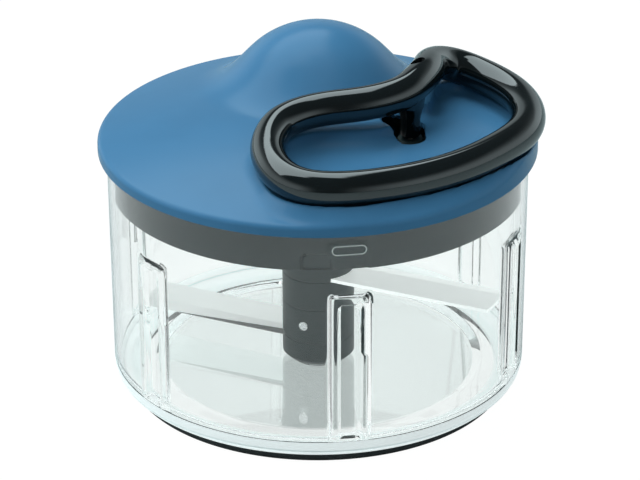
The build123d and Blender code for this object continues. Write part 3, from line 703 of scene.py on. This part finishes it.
# %% Press in the entries
spots = coordinates(collar)
radius = np.hypot(spots[:, 0], spots[:, 1])
angle = np.degrees(np.arctan2(spots[:, 1], spots[:, 0]))
height = spots[:, 2]
outer_skin = radius > COLLAR_R - 0.9
moved = np.zeros(len(spots))
for centre in LUG_DEGS:
    off = (angle - centre + 180) % 360 - 180
    along = off * pi / 180 * COLLAR_R
    arch_off = np.abs(along - radians(ARCH_TURN_DEG) * COLLAR_R)
    arch_top = 79.2 - 2.2 * np.clip((arch_off - 2.8) / 2.2, 0, 1) ** 2
    arch = 1 - ease(arch_off, 4.9, 5.5)
    arch *= 1 - ease(height, arch_top - 0.35, arch_top + 0.35)
    way = (1 - ease(np.abs(along), 6.4, 7.0)) * (1 - ease(height, 83.0, 83.6))
    moved += np.maximum(arch * ARCH_DEPTH, way * WAY_DEPTH)
spots[:, 0] *= (radius - np.where(outer_skin, moved, 0)) / radius
spots[:, 1] *= (radius - np.where(outer_skin, moved, 0)) / radius
move_to(collar, spots)
smooth(collar, 40)
dress(collar, dark_plastic, "dark_grey", "lid_body", "lid_base")

# %% [markdown]
# ## The lid's top
# The lid is one flowing moulding: a shallow crown, a ball-shaped palm dome, a raised seat under the
# handle and a flat finger floor inside the loop, all joined by soft hollows. That is easy to say as
# distances: each form is a distance from a simple shape, and forms are joined with a soft minimum.
# A flat sheet of small squares is laid out as a disc and lifted until each point lies on the form.

# %% Handle line
HANDLE = [
    (-10.5, -62.0, 100.3),
    (9.0, -65.3, 99.4),
    (42.0, -52.5, 99.3),
    (66.0, -26.4, 99.4),
    (72.5, -7.0, 99.6),
    (68.0, 14.9, 99.8),
    (50.5, 33.0, 101.6),
    (39.5, 27.0, 106.0),
    (37.0, 9.0, 109.0),
    (26.0, -11.0, 107.6),
    (-10.0, -14.5, 105.2),
    (-18.5, -37.0, 102.2),
]
TUBE_R = 5.9


def corner_arcs(points, share=0.47, step_deg=7):
    """A closed chain of points with a rounded corner at each one."""
    line = [Vector(p) for p in points]
    count, done = len(line), []
    for i, corner in enumerate(line):
        back, ahead = line[i - 1] - corner, line[(i + 1) % count] - corner
        reach = share * min(back.length, ahead.length)
        half = back.angle(ahead) / 2
        start, end = corner + back.normalized() * reach, corner + ahead.normalized() * reach
        arc_r = reach * tan(half)
        middle = corner + (back.normalized() + ahead.normalized()).normalized() * arc_r / sin(half)
        parts = max(2, int(degrees(pi - 2 * half) / step_deg))
        for k in range(parts + 1):
            done.append(middle + (start.lerp(end, k / parts) - middle).normalized() * arc_r)
    return np.array([tuple(p) for p in done])


handle_line = corner_arcs(HANDLE)
print("handle line points:", len(handle_line))


def line_distance(x, y):
    """Signed distance in plan from the handle's line (negative inside), and its height there."""
    a = handle_line[:, :2]
    b = np.roll(a, -1, axis=0)
    za = handle_line[:, 2]
    zb = np.roll(za, -1)
    best = np.full(x.shape, 1e9)
    level = np.zeros(x.shape)
    inside = np.zeros(x.shape, bool)
    for (ax, ay), (bx, by), z0, z1 in zip(a, b, za, zb):
        dx, dy = bx - ax, by - ay
        t = np.clip(((x - ax) * dx + (y - ay) * dy) / (dx * dx + dy * dy + 1e-12), 0, 1)
        far = np.hypot(x - ax - t * dx, y - ay - t * dy)
        nearer = far < best
        best = np.where(nearer, far, best)
        level = np.where(nearer, z0 + t * (z1 - z0), level)
        if ay != by:
            crosses = ((ay > y) != (by > y)) & (x < (bx - ax) * (y - ay) / (by - ay) + ax)
            inside ^= crosses
    return np.where(inside, -best, best), level


# %% Sizes of the lid
LID_R, EDGE_Z, CROWN_Z, SKIRT_Z = 75.0, 91.0, 98.5, 87.4
BALL_R = (LID_R**2 + (CROWN_Z - EDGE_Z) ** 2) / (2 * (CROWN_Z - EDGE_Z))
DOME_R, DOME_Y, DOME_Z = 33.7, 31.8, 83.6
FINGER_Z, FINGER_INSET = 93.2, 3.0
SEAT_R, SEAT_SWELL, SEAT_TOP_Z = 7.5, 2.0, 97.3
STUB_X, STUB_Y = 31.5, -1.0
TUBE_GAP, CREST_OFF = 0.3, 6.1
print("crown radius %.0f mm" % BALL_R)


# %% Lid form
def soft_min(a, b, width):
    """The smaller of two, with a soft hollow where they are nearly equal."""
    mix = np.clip(0.5 + 0.5 * (b - a) / width, 0, 1)
    return b + (a - b) * mix - width * mix * (1 - mix)


def soft_max(a, b, width):
    return -soft_min(-a, -b, width)


def lid_form(x, y, z, off, level):
    """Distance above the lid's top surface, negative inside the plastic."""
    crown = z - (CROWN_Z - BALL_R + np.sqrt(BALL_R**2 - np.minimum(x * x + y * y, LID_R**2)))
    ball = np.sqrt(x * x + (y - DOME_Y) ** 2 + (z - DOME_Z) ** 2) - DOME_R
    form = soft_min(crown, ball, 11.0)
    seat_r = SEAT_R + SEAT_SWELL * ease(-y, 30.0, 58.0) * ease(x, -24.0, 4.0)
    seat_z = SEAT_TOP_Z - seat_r
    seat = np.where(off > 0, np.hypot(off, z - seat_z), np.abs(z - seat_z)) - seat_r
    seat = np.where(off > -SEAT_R, seat, 1e3)
    form = soft_min(form, seat, 3.0)
    tube = np.hypot(off, z - level) - (TUBE_R + TUBE_GAP)
    form = soft_max(form, -tube, 0.5)
    room = soft_min(off + FINGER_INSET - 1.0, np.hypot(x - STUB_X, y - STUB_Y) - 11.0, 3.0)
    sweep = 3.0 + 9.0 * ease(-x, -38.0, -8.0)
    room = soft_max(room, FINGER_Z - z, sweep)
    return soft_max(form, -room, 0.8)


def lifted(x, y):
    """Height of the lid's top at each place."""
    off, level = line_distance(x, y)
    low, high = np.full(x.shape, 80.0), np.full(x.shape, 124.0)
    for _ in range(26):
        middle = (low + high) / 2
        under = lid_form(x, y, middle, off, level) < 0
        low = np.where(under, middle, low)
        high = np.where(under, high, middle)
    return (low + high) / 2


print("lid form ready")

# %% Lid sheet
LID_CELLS, RIM_ROLL, RIM_PARTS = 208, 1.4, 6
deselect()
bpy.ops.mesh.primitive_grid_add(x_subdivisions=LID_CELLS, y_subdivisions=LID_CELLS, size=2 * MM)
lid_top = bpy.context.object
lid_top.name = "lid_shell"
flat = coordinates(lid_top)[:, :2]
big, small = np.abs(flat).max(axis=1), np.abs(flat).min(axis=1)
turn = np.where(big > 1e-9, small / np.maximum(big, 1e-9), 0) * pi / 4
wide_x = np.abs(flat[:, 0]) >= np.abs(flat[:, 1])
TOP_R = LID_R - RIM_ROLL
x = np.sign(flat[:, 0]) * big * np.where(wide_x, np.cos(turn), np.sin(turn)) * TOP_R
y = np.sign(flat[:, 1]) * big * np.where(wide_x, np.sin(turn), np.cos(turn)) * TOP_R

# %% [markdown]
# The cord comes up through a tear-shaped hole in the finger floor. The points nearest to its edge
# are pushed onto it, and the squares inside are deleted, so that the hole has a clean edge. The
# crest of the handle's seat gets its own line of points in the same way.

# %% Tear-shaped hole
HOLE = [(29.1, 0.0, 7.4), (30.9, -9.0, 5.8)]


def hole_distance(x, y):
    """Distance from the edge of the hull of two circles, negative inside."""
    (ax, ay, ra), (bx, by, rb) = HOLE
    dx, dy = bx - ax, by - ay
    span = hypot(dx, dy)
    t = np.clip(((x - ax) * dx + (y - ay) * dy) / span**2, 0, 1)
    return np.hypot(x - ax - t * dx, y - ay - t * dy) - (ra + (rb - ra) * t)


cell = 2 * TOP_R / LID_CELLS
for _ in range(3):
    gap = hole_distance(x, y)
    slope_x = (hole_distance(x + 0.01, y) - gap) / 0.01
    slope_y = (hole_distance(x, y + 0.01) - gap) / 0.01
    near = np.abs(gap) < cell * 0.55
    x = np.where(near, x - gap * slope_x, x)
    y = np.where(near, y - gap * slope_y, y)
for _ in range(2):
    off = line_distance(x, y)[0]
    slope_x = (line_distance(x + 0.01, y)[0] - off) / 0.01
    slope_y = (line_distance(x, y + 0.01)[0] - off) / 0.01
    near = (np.abs(off - CREST_OFF) < cell * 0.5) & (np.hypot(x, y) < TOP_R - cell)
    x = np.where(near, x - (off - CREST_OFF) * slope_x, x)
    y = np.where(near, y - (off - CREST_OFF) * slope_y, y)
z = lifted(x, y)
move_to(lid_top, np.column_stack([x, y, z]))
choose(lid_top, hole_distance(x, y) < cell * 0.1)
bpy.ops.mesh.delete(type="FACE")
bpy.ops.object.mode_set(mode="OBJECT")
print("lid sheet points:", len(lid_top.data.vertices), "highest %.1f mm" % z.max())

# %% [markdown]
# The sheet's outer edge is rolled over by extruding it in short steps round a quarter circle, then
# straight down as the skirt. Solidify gives the whole moulding its wall.

# %% Rim
spots = coordinates(lid_top)
choose(lid_top, np.hypot(spots[:, 0], spots[:, 1]) > TOP_R - 0.01)
rim_now = TOP_R
for k in range(1, RIM_PARTS + 1):
    next_r = TOP_R + RIM_ROLL * sin(radians(90 * k / RIM_PARTS))
    grow = next_r / rim_now
    bpy.ops.mesh.extrude_region_move()
    bpy.ops.transform.resize(value=(grow, grow, 1), center_override=(0, 0, 0))
    rim_now = next_r
bpy.ops.mesh.extrude_region_move(TRANSFORM_OT_translate={"value": (0, 0, -2 * MM)})
bpy.ops.object.mode_set(mode="OBJECT")
bottom = np.zeros(len(lid_top.data.vertices), bool)
lid_top.data.vertices.foreach_get("select", bottom)
spots = coordinates(lid_top)
rim_r = np.hypot(spots[:, 0], spots[:, 1])
rolled = rim_r > TOP_R + 0.01
share = np.clip((rim_r[rolled] - TOP_R) / RIM_ROLL, 0, 1)
fall = RIM_ROLL * (1 - np.sqrt(1 - share**2))
spots[rolled, 2] = lifted(spots[rolled, 0], spots[rolled, 1]) - fall
spots[bottom, 2] = SKIRT_Z
move_to(lid_top, spots)
print("rim points moved:", int(rolled.sum()))

# %% Wall
wall = lid_top.modifiers.new("wall", "SOLIDIFY")
wall.thickness = 1.8 * MM
wall.offset = -1
bpy.ops.object.modifier_apply(modifier="wall")
smooth(lid_top, 40)
dress(lid_top, lid_blue, "lid_blue", "lid_body", "lid_cover")

# %% [markdown]
# ## The looped handle
# The handle is a smooth tube, bent into a bean-shaped ring that rises to a snout where the cord
# comes up. A closed curve with a round bevel gives the tube. The pocket for the cord's knot is cut
# into its shoulder, and the stub is turned, like the bowl.

# %% Handle tube
KNOT_MOUTH, POCKET_AXIS = (33.8, 8.4, 114.0), (-0.5, -0.45, 0.74)
POCKET_R, POCKET_DEEP = 2.5, 3.6
loop = ring_tube("handle_loop", HANDLE, TUBE_R)
middle = Vector(KNOT_MOUTH)
deselect()
bpy.ops.mesh.primitive_cylinder_add(
    vertices=48,
    radius=POCKET_R * MM,
    depth=2 * POCKET_DEEP * MM,
    location=middle * MM,
    rotation=Vector(POCKET_AXIS).to_track_quat("Z", "Y").to_euler(),
)
cutter = bpy.context.object
pocket = loop.modifiers.new("pocket", "BOOLEAN")
pocket.operation = "DIFFERENCE"
pocket.object = cutter
deselect()
loop.select_set(True)
bpy.context.view_layer.objects.active = loop
bpy.ops.object.modifier_apply(modifier="pocket")
bpy.data.objects.remove(cutter)
smooth(loop, 50)
dress(loop, handle_black, "handle_black", "handle_body", "pull_handle")

# %% Handle stub
stub_outline = rounded(
    [(0, 106.5), (5.2, 106.5), (4.6, 101.4), (3.4, 97.5), (3.4, 90.6), (1.3, 90.6), (1.3, 104.0)],
    [0.3, 2.0, 8.0, 0.6, 0.2],
)
stub = lathe("handle_stub", stub_outline, 64)
spots = coordinates(stub)
move_to(stub, spots + np.array([STUB_X, STUB_Y, 0]))
smooth(stub, 40)
dress(stub, handle_black, "handle_black", "handle_body")

# %% [markdown]
# ## The cord between lid and handle
# When the handle is pulled, cord runs out of the bush. This piece starts in the bush and ends at
# the knot.

# %% Cord that pays out
CORD_LOW_Z, CORD_HIGH_Z = 88.0, 104.0
deselect()
bpy.ops.mesh.primitive_cylinder_add(
    vertices=24, radius=0.88 * MM, depth=(CORD_HIGH_Z - CORD_LOW_Z) * MM
)
paid_out = bpy.context.object
paid_out.name = "cord_paid_out"
bpy.ops.object.mode_set(mode="EDIT")
bpy.ops.mesh.select_all(action="SELECT")
bpy.ops.mesh.bisect(plane_co=(0, 0, 0), plane_no=(0, 0, 1))
bpy.ops.object.mode_set(mode="OBJECT")
spots = coordinates(paid_out)
move_to(paid_out, spots + np.array([STUB_X, STUB_Y, (CORD_LOW_Z + CORD_HIGH_Z) / 2]))
smooth(paid_out, 40)
paid_out.data.materials.clear()
paid_out.data.materials.append(cord_braid)
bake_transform(paid_out)
print("cord stretch %.0f mm at rest" % (CORD_HIGH_Z - CORD_LOW_Z))

# %% [markdown]
# ## Floor, background and lamps
# The chopper stands on a white sweep under large soft lamps. The floor shows white to the camera
# and through clear plastic, and a small share of plain paint keeps a faint shadow on it.

# %% Floor
deselect()
bpy.ops.mesh.primitive_plane_add(size=6.0)
floor = bpy.context.object
floor.name = "floor"
floor_paint, floor_shader, floor_place = material("floor_paint")
FLOOR_GREY, FLOOR_PALE, WHITE_SHARE = (0.42, 0.50, 0.51), (0.46, 0.54, 0.55), 0.93
mottle = noise(floor_place, 2.0).between(colour(*FLOOR_GREY), colour(*FLOOR_PALE))
feed(floor_shader, "Base Color", mottle)
feed(floor_shader, "Roughness", noise(floor_place, 4.0) * 0.1 + 0.85)
tree = floor_paint.node_tree
rays = tree.nodes.new("ShaderNodeLightPath")
glow = tree.nodes.new("ShaderNodeEmission")
glow.inputs["Strength"].default_value = 1.06
blend_floor = tree.nodes.new("ShaderNodeMixShader")
seen = Sock(tree, rays.outputs["Is Camera Ray"])
clear_seen = Sock(tree, rays.outputs["Is Transmission Ray"])
any_seen = seen.maths("MAXIMUM", seen, clear_seen)
tree.links.new((any_seen * WHITE_SHARE).socket, blend_floor.inputs[0])
tree.links.new(floor_shader.outputs[0], blend_floor.inputs[1])
tree.links.new(glow.outputs[0], blend_floor.inputs[2])
tree.links.new(blend_floor.outputs[0], tree.nodes["Material Output"].inputs["Surface"])
floor.data.materials.append(floor_paint)
print("floor ready")

# %% [markdown]
# The surroundings are white to the camera. Everything else sees a studio: dark in front, a bright
# panel overhead and behind on the left, which gives the handle its pale strip, and bright sides.

# %% World
world = bpy.data.worlds.new("world")
bpy.context.scene.world = world
world.use_nodes = True
tree = world.node_tree
back = tree.nodes["Background"]
rays = tree.nodes.new("ShaderNodeLightPath")
seen = Sock(tree, rays.outputs["Is Camera Ray"])
clear_seen = Sock(tree, rays.outputs["Is Transmission Ray"])
any_seen = seen.maths("MAXIMUM", seen, clear_seen)
sky = Sock(tree, tree.nodes.new("ShaderNodeTexCoord").outputs["Generated"])
east, north, up = part_of(sky, "X"), part_of(sky, "Y"), part_of(sky, "Z")
panel = up.step(0.53, 0.56) * (1 - up.step(0.97, 0.99)) * north.step(-0.02, 0.02)
panel = panel * (1 - east.step(0.10, 0.16))
sides = east.maths("ABSOLUTE", east).step(0.15, 0.80) * (1 - up.step(0.20, 0.65))
behind = north.step(0.20, 0.90) * (1 - up.step(0.30, 0.42))
studio = panel * 2.6 + sides * 0.75 + behind * 0.40 + 0.07
strength = studio + any_seen * (1 - studio)
tree.links.new(strength.socket, back.inputs["Strength"])
tint = any_seen.between(colour(0.82, 0.97, 1.0), colour(1, 1, 1))
tree.links.new(tint.socket, back.inputs["Color"])
print("world ready")

# %% [markdown]
# Three soft lamps light the object from the left, the front and above. They don't show in gloss,
# because the panels of the studio already do.

# %% Lamps
def soft_lamp(name, place, aim, size, power):
    lamp = bpy.data.lights.new(name, "AREA")
    lamp.shape = "RECTANGLE"
    lamp.size, lamp.size_y = size
    lamp.energy = power
    holder = bpy.data.objects.new(name, lamp)
    bpy.context.scene.collection.objects.link(holder)
    face = (Vector(aim) - Vector(place)).to_track_quat("-Z", "Y").to_matrix().to_4x4()
    holder.matrix_world = Matrix.Translation(place) @ face
    holder.visible_glossy = False
    return holder


soft_lamp("left_lamp", (-0.75, -0.20, 0.75), (0, 0, 0.08), (0.7, 0.7), 3.2)
soft_lamp("front_lamp", (0.25, -0.85, 0.75), (0, 0, 0.08), (0.9, 0.6), 0.9)
soft_lamp("top_lamp", (0.0, 0.05, 1.0), (0, 0, 0.08), (0.6, 0.6), 3.4)
print("lamps ready")
